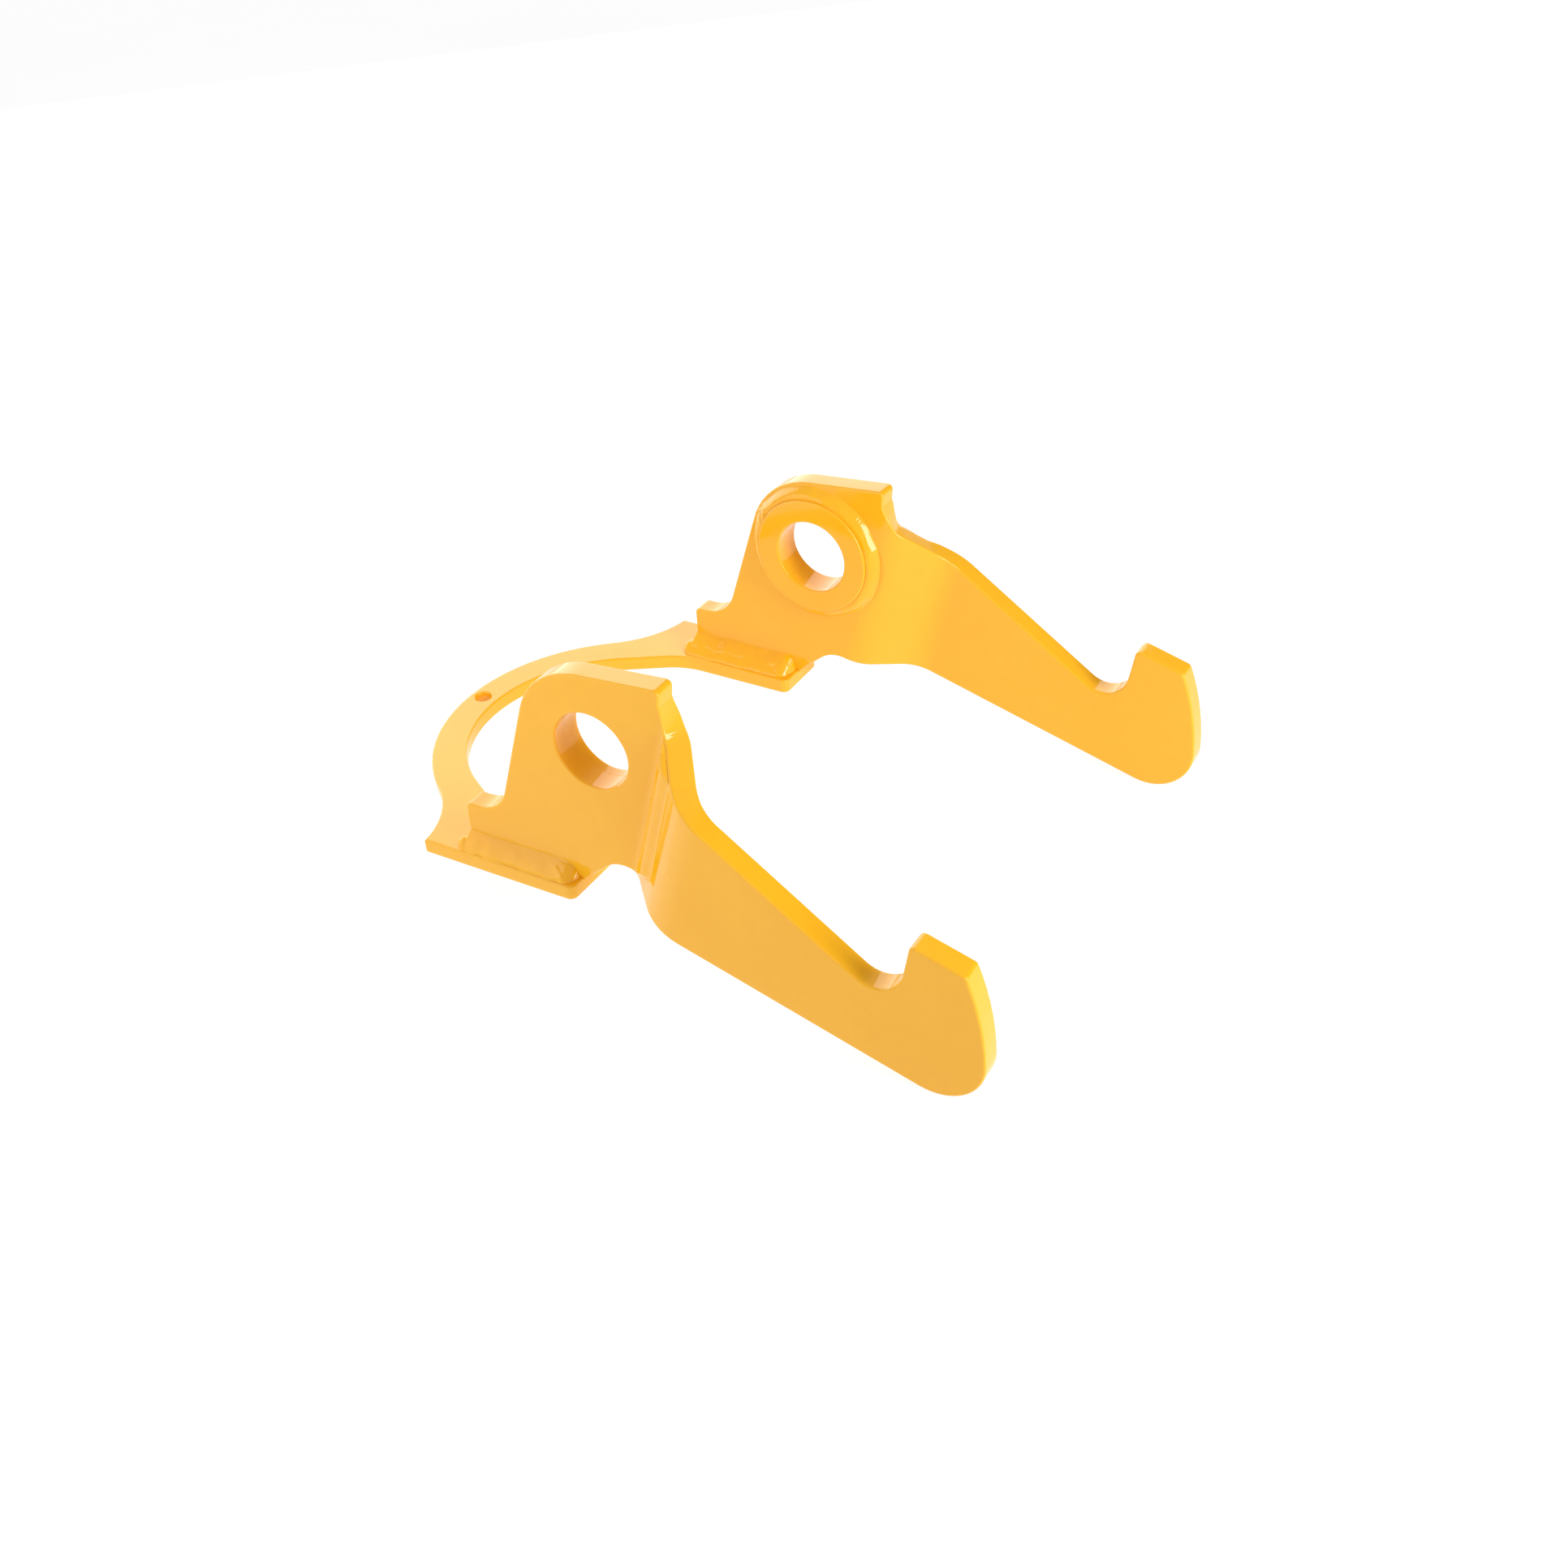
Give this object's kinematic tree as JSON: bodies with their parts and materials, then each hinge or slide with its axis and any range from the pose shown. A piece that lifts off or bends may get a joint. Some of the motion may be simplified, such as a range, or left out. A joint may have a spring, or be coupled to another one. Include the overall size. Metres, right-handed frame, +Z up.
{
  "type": "twin-hook locking lever",
  "caption": "Welded steel locking lever for a quick coupler: jogged hook arms with pivot eyes, joined by a horseshoe yoke plate.",
  "frame": {"origin": "middle of the underside of the bounding box; the pivot axis of the eyes runs along Y through x -19.1 mm, z 110.8 mm", "axes": "+X from the yoke to the hooks, +Y to the left arm, +Z up, square to the yoke plate; the XZ plane is the plane of symmetry"},
  "size_m": [0.3772, 0.2696, 0.1538],
  "materials": {
    "painted_steel": "glossy yellow-orange paint on plate steel",
    "painted_weld": "the same glossy paint over rippled weld beads"
  },
  "bodies": {
    "root": {"hook_arm_right": "painted_steel", "hook_arm_left": "painted_steel", "yoke_plate": "painted_steel", "pivot_boss_right": "painted_steel", "pivot_boss_left": "painted_steel", "boss_weld_right": "painted_weld", "boss_weld_left": "painted_weld", "yoke_weld_outer_right": "painted_weld", "yoke_weld_outer_left": "painted_weld", "yoke_weld_inner_right": "painted_weld", "yoke_weld_inner_left": "painted_weld", "jog_weld_right": "painted_weld", "jog_weld_left": "painted_weld"}
  },
  "joints": []
}
